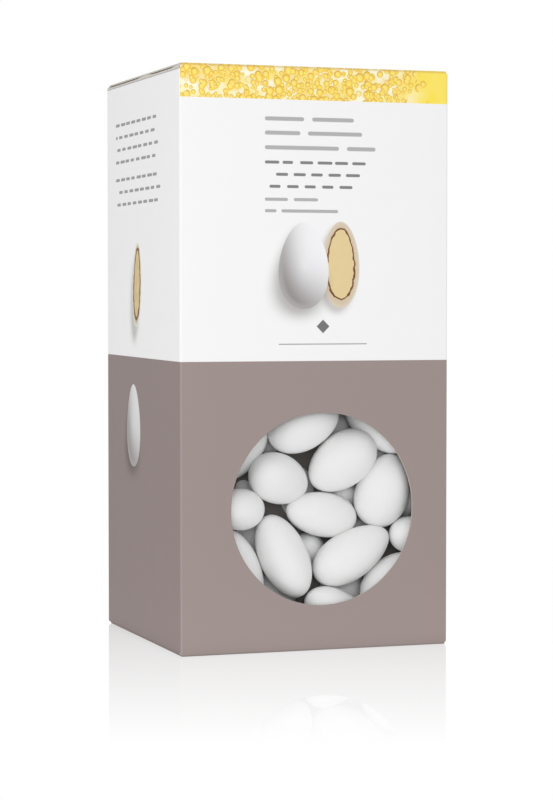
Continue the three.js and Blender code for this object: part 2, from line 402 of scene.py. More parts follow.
def cut_almond_picture(colour, across, up, place, centre, length, width, tones, skin_width, shadow, fall):
    """The flat cut face of an almond: coating, a thin ragged brown skin, and the pale kernel. shadow says how
    dark its shadow is, and fall how far that lies to the left and down, and how soft it is."""
    rim, coating, skin, kernel = tones
    left, down, soft = fall
    spread = egg(across, up, (centre[0] - left, centre[1] - down), length, width, CUT_TAPER)[3]
    shade = 1 - spread.rise(-0.6 * soft, soft)
    colour = mixed(shade * shade * shadow, colour, CUT_SHADOW)
    beyond = egg(across, up, centre, length, width, CUT_TAPER)[3]
    colour = mixed(beyond.below(0.0, PICTURE_EDGE), colour, mixed(beyond.rise(*CUT_RIM), coating, rim))
    inner_centre = (centre[0] + KERNEL_RIGHT * width, centre[1] + KERNEL_UP * length)
    ragged = (place.grain(RAGGED_SIZE, detail=1.5) - 0.5) * RAGGED
    inner = egg(across, up, inner_centre, length * KERNEL_LONG, width * KERNEL_WIDE, KERNEL_TAPER)[3] + ragged
    thick = 0.25 * skin_width + place.grain(2.4, detail=0.0) * (0.5 * skin_width)
    colour = mixed(inner.below(thick), colour, mixed(place.grain(3.5), skin, WORN_SKIN))
    return mixed(inner.below(0.0 - thick), colour, mixed(place.grain(3.0), kernel, KERNEL_CLOUD))


BUBBLE_GROUND = (paint(255, 252, 224), paint(253, 233, 138))
BUBBLE_MIDDLE, BUBBLE_OUTER, BUBBLE_RIM = paint(255, 232, 114), paint(248, 205, 86), paint(201, 159, 64)
BUBBLE_GLOW = paint(255, 240, 138)
BUBBLE_GLINT = paint(254, 240, 206)
BUBBLE_SIZES = [  # pitch, least radius, how much the radius varies, size of a crowd, sparseness
    (2.3, 0.6, 0.5, 7.0, -0.1),
    (3.3, 1.0, 0.7, 9.0, -0.1),
    (1.9, 0.4, 0.45, 6.0, 0.03),
]
CLEAR_GOLD = paint(255, 230, 83)
CLEAR_END = (28.0, 44.0)  # from where to where the band grows clear
CROWDED_GOLD = paint(247, 209, 98)
# Painted shade on the gold band where it turns over the top fold.
FOLD_SHADE_GOLD = paint(206, 168, 96)
FOLD_SHADE_BELOW_TOP = (1.2, 0.4)  # how far below the top the band darkens towards the fold


def bubbles(colour, place, pitch, least, spread, gather, sparse):
    """Round bubbles of one size class, dark at the upper rim, with a glow at the foot and a small glint."""
    feed = {"Vector": place, "Scale": 1 / pitch, "Randomness": 0.9}
    settings = {"voronoi_dimensions": "2D", "feature": "F1"}
    distance = place.add("ShaderNodeTexVoronoi", settings, feed, out="Distance") * pitch
    chance = place.add("ShaderNodeTexVoronoi", settings, feed, out="Color").parts()[0]
    middle = place.add("ShaderNodeTexVoronoi", settings, feed, out="Position")
    radius = least + chance * spread
    out = distance / radius
    offset = place.add("ShaderNodeVectorMath", {"operation": "SUBTRACT"}, {0: place, 1: middle})
    sideways, upwards = [part / radius for part in offset.parts()]
    from_foot = upwards + 0.4
    glow = (sideways * sideways + from_foot * from_foot * 2.0).below(0.1, 0.35)
    from_left, from_head = sideways + 0.3, upwards - 0.25
    glint = (from_left * from_left * 2.0 + from_head * from_head * 4.0).below(0.1, 0.3)
    body = mixed(out.rise(0.2, 0.85), BUBBLE_MIDDLE, BUBBLE_OUTER)
    body = mixed(glow * 0.8, body, BUBBLE_GLOW)
    upper = (0.38 + upwards * 0.55 - sideways * 0.15).clamped()
    body = mixed(out.rise(0.62, 0.98) * upper, body, BUBBLE_RIM)
    body = mixed(glint * 0.6, body, BUBBLE_GLINT)
    present = (middle.grain(gather, detail=1.0) - sparse).above(0.5, 0.02)
    return mixed(out.below(1.0, 0.14) * present, colour, body)


def gold_band(across, place):
    """Yellow with crowds of small bubbles, and clear towards the right end."""
    colour = mixed(place.grain(7.0, detail=1.0).rise(0.36, 0.68), *BUBBLE_GROUND)
    crowded = place.grain(9.0, detail=1.0).rise(0.46, 0.64)
    colour = mixed(crowded * 0.5, colour, CROWDED_GOLD)
    clear = across.rise(*CLEAR_END)
    colour = mixed(clear * 0.9, colour, CLEAR_GOLD)
    for pitch, least, spread, gather, sparse in BUBBLE_SIZES:
        colour = bubbles(colour, place, pitch, least, spread, gather, clear * 0.3 + sparse)
    return colour


BAR_LEFT = -19.1
HEAD_BAR, FOOT_BAR = 1.4, 1.1  # thickness of the bars
FRONT_BARS = [  # left end, right end, height, thickness
    (BAR_LEFT, -4.6, 186.6, HEAD_BAR), (-1.6, 14.0, 186.6, HEAD_BAR),
    (BAR_LEFT, -6.0, 181.7, HEAD_BAR), (-3.2, 17.1, 181.7, HEAD_BAR),
    (BAR_LEFT, 8.4, 176.6, HEAD_BAR), (11.4, 22.2, 176.6, HEAD_BAR),
    (BAR_LEFT, -10.6, 158.6, FOOT_BAR), (-8.4, 0.6, 158.6, FOOT_BAR),
    (BAR_LEFT, -14.8, 154.6, FOOT_BAR), (-13.0, 8.1, 154.6, FOOT_BAR),
]
FRONT_ROWS = (BAR_LEFT, 20.6, 173.6, 4.2, 3, 1.05, 6.5, 3.0)  # as bar_rows takes them
RULE = (-14.0, 19.0, 108.1, 0.35)  # as round_bar takes it
DIAMOND_HEIGHT, DIAMOND_HALF = 114.3, 2.4
BAR_GREY, ROW_GREY, DIAMOND_GREY, RULE_GREY = [paint(grey, grey, grey) for grey in (180, 134, 120, 150)]
FRONT_CUT, FRONT_WHOLE = ((9.1, 135.95), 30.2, 14.0), ((-4.7, 135.5), 30.2, 18.4)  # middle, length, width
FRONT_CUT_TONES = (paint(219, 208, 188), paint(216, 196, 172), paint(98, 52, 28), paint(226, 203, 152))
FRONT_WHOLE_TONES = (paint(244, 244, 246), paint(147, 142, 140))


def front_colour(across, up, place):
    bars = functools.reduce(Wire.least, [round_bar(across, up, *bar) for bar in FRONT_BARS])
    colour = mixed(bars.below(0.0), fields(up), BAR_GREY)
    colour = mixed(bar_rows(across, up, *FRONT_ROWS), colour, ROW_GREY)
    colour = cut_almond_picture(
        colour, across, up, place, *FRONT_CUT, FRONT_CUT_TONES,
        skin_width=0.6, shadow=0.45, fall=(1.5, 2.0, 2.8),
    )
    colour = whole_almond_picture(colour, across, up, *FRONT_WHOLE, *FRONT_WHOLE_TONES, shadow=0.59)
    diamond = abs(across - WINDOW_X) + abs(up - DIAMOND_HEIGHT)
    colour = mixed(diamond.below(DIAMOND_HALF), colour, DIAMOND_GREY)
    colour = mixed(round_bar(across, up, *RULE).below(0.0), colour, RULE_GREY)
    colour = mixed(up.above(BAND_FOOT), colour, gold_band(across, place))
    # painted shade where the band turns over the top fold
    bent = up.rise(HEIGHT - FOLD_SHADE_BELOW_TOP[0], HEIGHT - FOLD_SHADE_BELOW_TOP[1]) * 0.5
    return worn_and_highlit_folds(mixed(bent, colour, FOLD_SHADE_GOLD), across, place, -FLAT_WIDTH, FLAT_WIDTH)


WINDOW_BLOCK = 38.0  # half the square of board that the window is cut from
WINDOW_STEPS = 36


def window_ring():
    """The square of board round the window, from its outline in to the round cut."""
    half = WINDOW_BLOCK
    run = steps(-half, half, WINDOW_STEPS)[:-1]
    square = [(s, -half) for s in run] + [(half, s) for s in run]
    square += [(-s, half) for s in run] + [(-half, -s) for s in run]
    square = [(WINDOW_X + u, WINDOW_Z + v) for u, v in square]
    circle = []
    for u, v in square:
        share = WINDOW_RADIUS / math.hypot(u - WINDOW_X, v - WINDOW_Z)
        circle.append((WINDOW_X + (u - WINDOW_X) * share, WINDOW_Z + (v - WINDOW_Z) * share))
    count = len(square)
    return [
        [square[i], square[(i + 1) % count], circle[(i + 1) % count], circle[i]] for i in range(count)
    ]


def front_panel():
    ends = steps(FLAT_WIDTH, FLAT_WIDTH + HALF_FOLD, FOLD_STEPS)
    block = steps(WINDOW_X - WINDOW_BLOCK, WINDOW_X + WINDOW_BLOCK, WINDOW_STEPS)
    across = lines(ends, [-value for value in ends], block)
    fold_low = steps(FOLD_RADIUS - HALF_FOLD, FOLD_RADIUS, FOLD_STEPS)
    fold_high = [HEIGHT - value for value in fold_low]
    block_up = steps(WINDOW_Z - WINDOW_BLOCK, WINDOW_Z + WINDOW_BLOCK, WINDOW_STEPS)
    up = lines(fold_low, fold_high, block_up, steps(100, 190, 9))

    def kept(u, v):
        if abs(u - WINDOW_X) < WINDOW_BLOCK and abs(v - WINDOW_Z) < WINDOW_BLOCK:
            return False
        return abs(u) < FLAT_WIDTH or CORNER_BOTTOM < v < CORNER_TOP

    quads = cells(across, up, kept) + window_ring()
    flat_up = (FOLD_RADIUS, HEIGHT - FOLD_RADIUS)
    materials = (printed_board("front_print", front_colour), board_inside, board_edge)
    board_panel("carton_front", quads, X, Z, HALF_DEPTH, (-FLAT_WIDTH, FLAT_WIDTH), flat_up, materials)


front_panel()


# Side panels
# The left and the right face, each with a dust flap that folds in under the lid and one over the base. The
# right one also carries the glue flap that holds the carton together behind the back panel.
DUST_FLAP = 30.0
FLAP_FRONT, FLAP_BACK = HALF_DEPTH - 0.85, HALF_DEPTH - 0.75  # from the middle to the flap's cut edges
FLAP_SLANT = 4.0  # how much narrower a flap is on each side at its free edge
FLAP_SWELL, SWELL_PLACE, SWELL_LENGTH = 0.55, 3.0, 7.0  # the left flap is bowed up and touches the lid there
FRONT_SWELL = (34.0, 44.0)  # and from the first of these places to the second it comes up to the lid again
GLUE_FLAP, GLUE_STUB = 14.0, 2.5  # its width, and the part of it before its ends slant
GLUE_ROOM, GLUE_SLANT = 22.0, 8.0  # room left at the carton's ends, and how much its own slant
FIELD_CLIMB = 0.9  # the lower field's edge lies this much higher at the rear end of the sides
# The front's grey brown print, painted darker on the side panels as painted shade.
SIDE_TAUPE_SHADED = paint(144, 129, 127)
# The unprinted flap board, darker than bare board as painted shade under the lid.
BARE_FLAP_SHADED = paint(212, 207, 199)
# A thin line of painted shade along the score where the side panel folds over.
CREASE_SHADE = paint(146, 141, 134)
CREASE_SHADE_WIDTH = 0.3
SIDE_ROWS = [(-34.6, 22.0, 191.0, 4.6, 4, 1.1, 7.0, 5.0), (-34.6, 26.0, 170.6, 4.6, 3, 1.1, 7.0, 9.0)]
SMALL_BAR_GREY = paint(156, 156, 156)
SIDE_CUT, SIDE_WHOLE = ((-6.5, 129.2), 30.6, 11.4), ((-11.4, 77.5), 30.3, 17.5)  # middle, length, width
SIDE_CUT_LEAN = 0.07  # how far the cut one leans over for its height
SIDE_CUT_TONES = (paint(234, 229, 218), paint(200, 188, 162), paint(98, 76, 44), paint(203, 179, 131))
SIDE_WHOLE_TONES = (paint(226, 226, 226), paint(152, 147, 145))


def side_print(name, shift, to_rear, low, high):
    """Two blocks of bars and two almonds, shifted across the panel, and a creased bare flap at the top.
    The flap is darker as painted shade, and a thin line of painted shade runs along its score line.
    to_rear is 1 where across points to the rear and -1 where it points to the front."""
    def side_colour(across, up, place):
        climb = across * (to_rear * FIELD_CLIMB / (2 * HALF_DEPTH)) + FIELD_CLIMB / 2
        # white above, and grey brown below with painted shade
        colour = fields(up - climb, SIDE_TAUPE_SHADED)
        shifted = across - shift
        for rows in SIDE_ROWS:
            colour = mixed(bar_rows(shifted, up, *rows), colour, SMALL_BAR_GREY)
        leaned = shifted - (up - SIDE_CUT[0][1]) * SIDE_CUT_LEAN
        colour = cut_almond_picture(
            colour, leaned, up, place, *SIDE_CUT, SIDE_CUT_TONES,
            skin_width=1.1, shadow=0.5, fall=(2.2, 5.4, 4.4),
        )
        colour = whole_almond_picture(colour, shifted, up, *SIDE_WHOLE, *SIDE_WHOLE_TONES, shadow=0.55)
        colour = worn_and_highlit_folds(colour, across, place, low, high)
        # the bare flap, with painted shade from the lid
        colour = mixed(up.above(SIDE_TOP), colour, BARE_FLAP_SHADED)
        # painted shade line along the score
        crease_shade = abs(up - (SIDE_TOP - CREASE_SHADE_WIDTH / 2)).below(CREASE_SHADE_WIDTH / 2)
        return mixed(crease_shade * (0.6 + place.grain(3.0) * 0.4), colour, CREASE_SHADE)

    return printed_board(name, side_colour)


def dust_flap_lines():
    """Lines past a side panel's upper and lower end: the fold, and the flap beyond it."""
    groups = []
    for end, way in ((SIDE_TOP, 1), (SIDE_BOTTOM, -1)):
        over = steps(end, end + way * 2 * HALF_FOLD, 2 * FOLD_STEPS)
        groups += [over, steps(over[-1], over[-1] + way * DUST_FLAP, 4)]
    return groups


def side_shape(flap_low, flap_high):
    """Which cells a side panel has, and how its flaps narrow towards their free edge."""
    def kept(u, v):
        return SIDE_BOTTOM < v < SIDE_TOP or flap_low < u < flap_high

    def shaped(u, v):
        out = max(v - SIDE_TOP, SIDE_BOTTOM - v, 2 * HALF_FOLD) - 2 * HALF_FOLD
        middle = (flap_low + flap_high) / 2
        return middle + (u - middle) * (1 - out / DUST_FLAP * 2 * FLAP_SLANT / (flap_high - flap_low)), v

    return kept, shaped


def swollen_flap(u, v):
    """How far the left panel's upper flap is raised."""
    front_start, front_full = FRONT_SWELL
    towards_front = min(max((u - front_start) / (front_full - front_start), 0.0), 1.0)
    bow = math.exp(-(((u - SWELL_PLACE) / SWELL_LENGTH) ** 2))
    raised = FLAP_SWELL * max(bow, towards_front ** 2 * (3 - 2 * towards_front))
    return Z * raised * min(max((v - SIDE_TOP) / HALF_FOLD, 0.0), 1.0)


def left_panel():
    ends = steps(FLAT_DEPTH, FLAT_DEPTH + HALF_FOLD, FOLD_STEPS)
    flap = (-FLAP_BACK, FLAP_FRONT)
    across = lines(ends, [-value for value in ends], flap, steps(-40, 44, 21))
    up = lines(*dust_flap_lines(), steps(20, 180, 8))
    kept, shaped = side_shape(*flap)
    flat = (-FLAT_DEPTH, FLAT_DEPTH)
    materials = (side_print("left_side_print", 0.0, -1, *flat), board_inside, board_edge)
    board_panel(
        "carton_left_side", cells(across, up, kept, shaped), -Y, Z, HALF_WIDTH, flat, (SIDE_BOTTOM, SIDE_TOP),
        materials, warp=swollen_flap,
    )


def right_panel():
    back_flat = FLAT_DEPTH - BOARD
    front_fold = [-value for value in steps(FLAT_DEPTH, FLAT_DEPTH + HALF_FOLD, FOLD_STEPS)]
    back_fold = steps(back_flat, back_flat + 2 * HALF_FOLD, 2 * FOLD_STEPS)
    stub = back_fold[-1] + GLUE_STUB
    glue = steps(stub, back_fold[-1] + GLUE_FLAP, 2)
    flap = (-FLAP_FRONT, FLAP_BACK - BOARD)
    across = lines(front_fold, back_fold, glue, flap, steps(-40, 40, 8))
    up = lines(*dust_flap_lines(), (GLUE_ROOM, HEIGHT - GLUE_ROOM), steps(30, 170, 7))
    side_kept, side_shaped = side_shape(*flap)

    def kept(u, v):
        if u > stub:
            return GLUE_ROOM < v < HEIGHT - GLUE_ROOM
        return side_kept(u, v)

    def shaped(u, v):
        if u <= stub:
            return side_shaped(u, v)
        out = (u - stub) / (glue[-1] - stub)
        half = HEIGHT / 2 - GLUE_ROOM
        return u, HEIGHT / 2 + (v - HEIGHT / 2) * (1 - out * GLUE_SLANT / half)

    flat = (-FLAT_DEPTH, back_flat)
    materials = (side_print("right_side_print", 8.0, 1, -FLAT_DEPTH, FLAT_DEPTH), board_inside, board_edge)
    board_panel(
        "carton_right_side", cells(across, up, kept, shaped), Y, Z, HALF_WIDTH, flat, (SIDE_BOTTOM, SIDE_TOP),
        materials,
    )


left_panel()
right_panel()


# Back panel
# The plain rear face. Its left edge, seen from behind, is a raw cut over the glue flap, and its upper and
# lower edges are cut just short of the lid and the base.
RAW_EDGE_INSET = 0.2
BACK_ROWS = (-36.0, 34.0, 188.0, 5.4, 6, 0.9, 7.5, 21.0)


def back_colour(across, up, place):
    colour = mixed(bar_rows(across, up, *BACK_ROWS), fields(up - FIELD_CLIMB), SMALL_BAR_GREY)
    return worn_and_highlit_folds(colour, across, place, -2 * HALF_WIDTH, FLAT_WIDTH)


def back_panel():
    fold = steps(FLAT_WIDTH, FLAT_WIDTH + HALF_FOLD, FOLD_STEPS)
    raw = -HALF_WIDTH + RAW_EDGE_INSET
    across = lines(fold, (raw, -FLAT_WIDTH), steps(-40, 40, 8))
    up = lines((BOARD, CORNER_BOTTOM, CORNER_TOP, HEIGHT - BOARD), steps(20, 180, 8))

    def kept(u, v):
        return abs(u) < FLAT_WIDTH or CORNER_BOTTOM < v < CORNER_TOP

    flat = (-HALF_WIDTH, FLAT_WIDTH)
    materials = (printed_board("back_print", back_colour), board_inside, board_edge)
    board_panel("carton_back", cells(across, up, kept), -X, Z, HALF_DEPTH, flat, (0.0, HEIGHT), materials)


back_panel()


# Lid and base
# Each runs on from the front panel over a fold, back over the dust flaps, and tucks in with a tongue. The
# gold print goes on over the lid, and the base has the grey brown one, on its cut edges too, as painted shade
# at the carton's foot.
TONGUE = 18.0
TONGUE_INSET = 5.0
TONGUE_CORNER = 4.0
TONGUE_GAP = 0.3  # between the tongue and the back panel
BASE_CLOUD = paint(150, 137, 134)


def lid_colour(across, up, place):
    return gold_band(across, place)


def base_colour(across, up, place):
    return mixed(place.grain(2.0), TAUPE_PRINT, BASE_CLOUD)


def end_panel(name, up_direction, face, materials):
    """The lid, or the base, whose own up points to the front of the carton."""
    sign = up_direction.y
    front = -FLAT_DEPTH * sign
    back = (HALF_DEPTH - BOARD - TONGUE_GAP - FOLD_RADIUS) * sign
    front_fold = steps(front, front - HALF_FOLD * sign, FOLD_STEPS)
    back_fold = steps(back, back + 2 * HALF_FOLD * sign, 2 * FOLD_STEPS)
    root = back_fold[-1]
    tip = root + TONGUE * sign
    rounded = [tip - TONGUE_CORNER * sign * (1 - math.sin(a)) for a in steps(0, math.pi / 2, 5)]
    side = HALF_WIDTH - TONGUE_INSET
    across = lines((-FLAT_WIDTH, FLAT_WIDTH), steps(-side, side, 12))
    up = lines(front_fold, back_fold, steps(root, rounded[0], 3), rounded, steps(-40, 40, 8))

    def kept(u, v):
        return abs(u) < side or (v - root) * sign < 0

    def shaped(u, v):
        past = max((v - rounded[0]) * sign, 0.0)
        pulled = TONGUE_CORNER - math.sqrt(max(TONGUE_CORNER ** 2 - past ** 2, 0.0))
        return u * (1 - pulled / side), v

    flat = (min(front, back), max(front, back))
    shift = HEIGHT - FOLD_RADIUS + HALF_FOLD - (front - HALF_FOLD * sign)
    no_fold = (-2 * HALF_WIDTH, 2 * HALF_WIDTH)
    quads = cells(across, up, kept, shaped)
    board_panel(name, quads, X, up_direction, face, no_fold, flat, materials, sheet_shift=shift)


lid_print = printed_board("lid_print", lid_colour)
base_print = printed_board("base_print", base_colour)
end_panel("carton_lid", Y, HEIGHT, (lid_print, board_inside, board_edge))
# The base's cut edges take its grey brown print as painted shade where the carton stands on the floor.
end_panel("carton_base", -Y, 0.0, (base_print, board_inside, base_print))


# Window film
# A thin clear sheet glued behind the window. The solid from the frame is its true shape and stays, with a
# finish that lets nearly all light through and keeps a faint gloss, the same on the way in and out.
FILM_BEND = 1.1  # how strongly it bends light, which sets its gloss
FILM_ROUGHNESS = 0.06


def clear_film():
    material, shader, start = new_material("clear_film")
    tree = material.node_tree
    tree.nodes.remove(shader)
    through = start.add("ShaderNodeBsdfTransparent", None, {"Color": WHITE})
    gloss = start.add("ShaderNodeBsdfGlossy", None, {"Roughness": FILM_ROUGHNESS})
    behind = start.add("ShaderNodeNewGeometry", None, None, out="Backfacing")
    share = start.add("ShaderNodeFresnel", None, {"IOR": FILM_BEND - behind * (FILM_BEND - 1 / FILM_BEND)})
    film = start.add("ShaderNodeMixShader", None, {0: share, 1: through, 2: gloss})
    start.feed(tree.nodes["Material Output"], {"Surface": film})
    return material


window_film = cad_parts["window_film"]
window_film.data.materials.clear()
window_film.data.materials.append(clear_film())


# Sugared almonds
# Roasted almonds in chocolate under a thin polished sugar shell, poured in loose. The first layer lies at
# the film as in the photograph, the next one shows between them, and more drop in where there is room.
HEAP_FRONT = -46.1  # just behind the film
THICK_PER_WIDTH = 0.82
ROUND_STEPS, LONG_STEPS = 44, 30
LUMP = 0.012  # unevenness of the shell as a share of its size
LUMPS, LUMP_TURN, LUMP_START = 5, 4, 6.3  # how many waves make it up, and the most they turn and start at
WINDOW_ALMONDS = [
    # across, height, gap to the film, length, width, turn, lean, taper
    (-1.1, 79, 1.5, 27.6, 17.5, 22, 0, 0.09),
    (13.4, 66.1, 0, 27.5, 19.5, 37, -8, -0.09),
    (-10.4, 60.2, 1, 24.3, 18, 160, -15, -0.1),
    (29, 55.2, 0, 27.3, 19.8, 75, -8, 0.14),
    (6.1, 47.1, 3.5, 27.5, 16, -10, 4, -0.09),
    (-26, 50, 1, 20.4, 14.8, -5, 15, -0.08),
    (-9.2, 32.8, 0, 31.4, 17.6, -67, -8, -0.02),
    (16.5, 32.6, 0, 31.2, 17.5, 30, -3, 0.14),
    (39.6, 39.2, 0.5, 17.5, 13, 0, -8, 0.12),
    (31.2, 22.3, 0, 25.5, 17, 43, 0, 0.1),
    (11.2, 12.4, 0, 28, 15, -24, 8, 0.12),
    (-25.5, 29, 3, 30, 16, -65, -8, 0.1),
    (-24.4, 70.8, 6, 27, 17, 52, -12, -0.04),
    (27, 80.3, 2, 29, 17, -54, -24, 0.14),
]
NEXT_ALMONDS = [
    # across and height where the film is crossed, least gap to the film, length, width, turn, lean, taper
    (-4.5, 33, 11, 24.5, 15.5, -75, 55, 0.1),
    (8.5, 52, 10, 24.5, 15.5, -75, 55, 0.1),
    (-25, 41, 18, 25, 16, -60, 0, 0.1),
    (10, 21, 10.5, 24, 16, 80, 0, 0.1),
    (6, 76.5, 16.5, 24.5, 15.5, -75, 55, 0.1),
    (34, 53, 8.5, 24.5, 15.5, 0, -80, 0.1),
    (26, 69, 10, 24.5, 15.5, -15, 30, 0.1),
    (-20, 79, 17.5, 24.5, 15.5, 75, 55, 0.1),
    (-19.5, 19, 8, 26, 16.5, 10, 0, 0.1),
    (19, 38, 16, 24.5, 15.5, -30, 30, 0.1),
    (-27, 60.5, 18.5, 24.5, 15.5, 30, 60, 0.1),
]
SIGHT = Vector((0.37, 1.0, -0.09))  # from the camera through the middle of the window
SIGHT_MIDDLE, IN_SIGHT = (8.0, 49.0), 38.0  # what is seen behind the window, where no more come near the film
NEAREST, NEAREST_IN_SIGHT = 0.3, 15.0  # least gap from the film to a dropped almond
HEAP_SIDE = 48.6  # how far to the side the heap reaches
HEAP_FLOOR = 2.4  # height of its foot
DROPS = 260  # how many almonds are tried
DROPPED = [(25, 30), (15.5, 18), (-90, 90), (-30, 30), (0.06, 0.14)]  # length, width, turn, lean, taper
DROP_TOP = 108.0
DROP_DEPTH = 20.0
DROP_STEP = 0.5
SQUEEZE = 1.0  # how far the balls that fill the almonds may press into each other
BALLS = np.array([-0.62, -0.32, 0, 0.32, 0.62])  # places of these balls along an almond
BALL_SIZE = 0.91  # of the almond's width, half way between its width and its thickness
draw = random.Random(11)


def shell(length, width, turn, lean, taper):
    """Points of one almond round its own middle, its long axis, and its size."""
    rounds = np.arange(ROUND_STEPS) * 2 * math.pi / ROUND_STEPS
    rings = np.arange(1, LONG_STEPS) * math.pi / LONG_STEPS
    ring, spin = np.meshgrid(rings, rounds, indexing="ij")
    unit = np.stack([np.sin(ring) * np.sin(spin), np.cos(ring), np.sin(ring) * np.cos(spin)], -1)
    unit = np.vstack([[0, 1, 0], unit.reshape(-1, 3), [0, -1, 0]])
    lumps = [
        ([draw.uniform(-LUMP_TURN, LUMP_TURN) for _ in range(3)], draw.uniform(0, LUMP_START))
        for _ in range(LUMPS)
    ]
    waves = sum(np.sin(unit @ np.array(way) + start) for way, start in lumps)
    slim = 1 - taper * unit[:, 1]
    shape = unit * (1 + LUMP * waves / LUMPS)[:, None]
    shape[:, 0] *= slim * width / 2
    shape[:, 1] *= length / 2
    shape[:, 2] *= slim * width / 2 * THICK_PER_WIDTH
    slope, tip = math.radians(turn), math.radians(lean)
    long = Vector((math.cos(slope) * math.cos(tip), math.sin(tip), math.sin(slope) * math.cos(tip)))
    outward = (-Y - long * (-Y).dot(long)).normalized()
    sideways = long.cross(outward)
    return shape @ np.array([sideways, long, outward]), np.array(long), length, width


def placed(form, x, z, gap, way):
    """An almond's points in the carton, and the places and sizes of the balls that fill it."""
    points, long, length, width = form
    depth = gap - points[:, 1].min()
    middle = np.array([x, HEAP_FRONT, z]) + depth * np.array(way)
    spots = middle + BALLS[:, None] * long * length / 2
    return points + middle, spots, width * BALL_SIZE / 2 * np.sqrt(1 - BALLS ** 2)


def drop(heap, form, x, z, nearest, way=Y):
    """Adds an almond at the first depth where it has room, if there is one."""
    taken = np.vstack([spots for _, spots, _ in heap])
    reach = np.concatenate([sizes for _, _, sizes in heap])
    for gap in np.arange(nearest, DROP_DEPTH, DROP_STEP):
        points, spots, sizes = placed(form, x, z, gap, way)
        inside = np.abs(points[:, 0]).max() < HEAP_SIDE and points[:, 2].min() > HEAP_FLOOR
        apart = np.linalg.norm(spots[:, None] - taken[None], axis=2)
        if inside and (apart > sizes[:, None] + reach[None] - SQUEEZE).all():
            heap.append((points, spots, sizes))
            return


def fill_heap():
    heap = [placed(shell(*form), x, z, gap, Y) for x, z, gap, *form in WINDOW_ALMONDS]
    for x, z, gap, *form in NEXT_ALMONDS:
        drop(heap, shell(*form), x, z, gap, SIGHT)
    for _ in range(DROPS):
        form = shell(*[draw.uniform(*span) for span in DROPPED])
        low, high = form[0].min(0), form[0].max(0)
        x = draw.uniform(-HEAP_SIDE - low[0], HEAP_SIDE - high[0])
        z = draw.uniform(HEAP_FLOOR - low[2], DROP_TOP - high[2])
        seen = math.hypot(x - SIGHT_MIDDLE[0], z - SIGHT_MIDDLE[1]) < IN_SIGHT
        drop(heap, form, x, z, NEAREST_IN_SIGHT if seen else NEAREST)
    return [points for points, _, _ in heap]


def shell_faces():
    """The same faces for every almond: a fan at each end and four sided ones between."""
    faces = []
    last = 1 + (LONG_STEPS - 1) * ROUND_STEPS
    for i in range(ROUND_STEPS):
        j = (i + 1) % ROUND_STEPS
        faces.append((0, 1 + i, 1 + j))
        faces.append((last, last - ROUND_STEPS + j, last - ROUND_STEPS + i))
        for ring in range(LONG_STEPS - 2):
            a = 1 + ring * ROUND_STEPS
            faces.append((a + i, a + ROUND_STEPS + i, a + ROUND_STEPS + j, a + j))
    return faces


SUGAR_TONES = (paint(232, 233, 232), paint(239, 239, 239))
SUGAR_GLOSS = 0.25
SUGAR_ROUGHNESS, SUGAR_VARIES = 0.42, 0.16
SUGAR_CLOUD, SUGAR_GRAIN = 5.0, 0.9  # sizes of its soft waves and of its fine ones
SUGAR_DEPTH, SUGAR_RELIEF = 0.12, 0.3
ALMOND_TONE = "tone"  # a number for each almond, so that they are not all alike


def sugar_shell():
    material, shader, start = new_material("polished_sugar_shell", Specular_IOR_Level=SUGAR_GLOSS)
    place = start.add("ShaderNodeTexCoord", None, None, out="Object")
    cloud = place.grain(SUGAR_CLOUD * MM)
    fine = place.grain(SUGAR_GRAIN * MM, detail=3.0)
    tone = start.add("ShaderNodeAttribute", {"attribute_name": ALMOND_TONE}, None, out="Fac")
    relief = {"Height": fine * 0.35 + cloud, "Strength": SUGAR_RELIEF, "Distance": SUGAR_DEPTH * MM}
    start.feed(shader, {
        "Base Color": mixed(cloud * 0.6 + tone * 0.4, *SUGAR_TONES),
        "Roughness": SUGAR_ROUGHNESS + fine * SUGAR_VARIES,
        "Normal": start.add("ShaderNodeBump", None, relief),
    })
    return material


def heap_piece(name, points, faces, material):
    mesh = bpy.data.meshes.new(name)
    mesh.from_pydata((points * MM).tolist(), [], faces)
    mesh.polygons.foreach_set("use_smooth", [True] * len(mesh.polygons))
    mesh.materials.append(material)
    piece = bpy.data.objects.new(name, mesh)
    bpy.context.scene.collection.objects.link(piece)
    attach(piece, "root")
    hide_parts("sugared_almonds")
    return mesh


def almonds_at_window():
    almonds = fill_heap()
    each = len(almonds[0])
    faces = [tuple(i + n * each for i in face) for n in range(len(almonds)) for face in shell_faces()]
    mesh = heap_piece("sugared_almonds_at_window", np.vstack(almonds), faces, sugar_shell())
    tone = mesh.attributes.new(ALMOND_TONE, "FLOAT", "POINT")
    tone.data.foreach_set("value", np.repeat([draw.random() for _ in almonds], each))


almonds_at_window()


# Core of the heap
# What fills the carton behind the almonds that show: the rest of the heap, closed in and in the dark, so it
# is one lumpy block with almond sized swellings. Its dark grey is painted shade, in place of white almonds
# in shadow.
CORE_FRONT = -27.0
CORE_STEP = 4.0
CORE_LUMP = 3.0  # how deep it is sunk between the swellings
SWELL_X, SWELL_Y, SWELL_Z, SWELL_BEND = 5.5, 6.5, 7.5, 9  # length and bend of their waves
# Painted shade: a dark grey in place of the white sugar shells that lie in shadow.
CORE_PAINTED_SHADE = (paint(110, 107, 104), paint(138, 134, 130))
CORE_CLOUD = 12


def deep_heap():
    material, shader, start = new_material("heap_painted_dark", Roughness=0.9, Specular_IOR_Level=0.1)
    place = start.add("ShaderNodeTexCoord", None, None, out="Object")
    start.feed(shader, {"Base Color": mixed(place.grain(CORE_CLOUD * MM), *CORE_PAINTED_SHADE)})
    return material


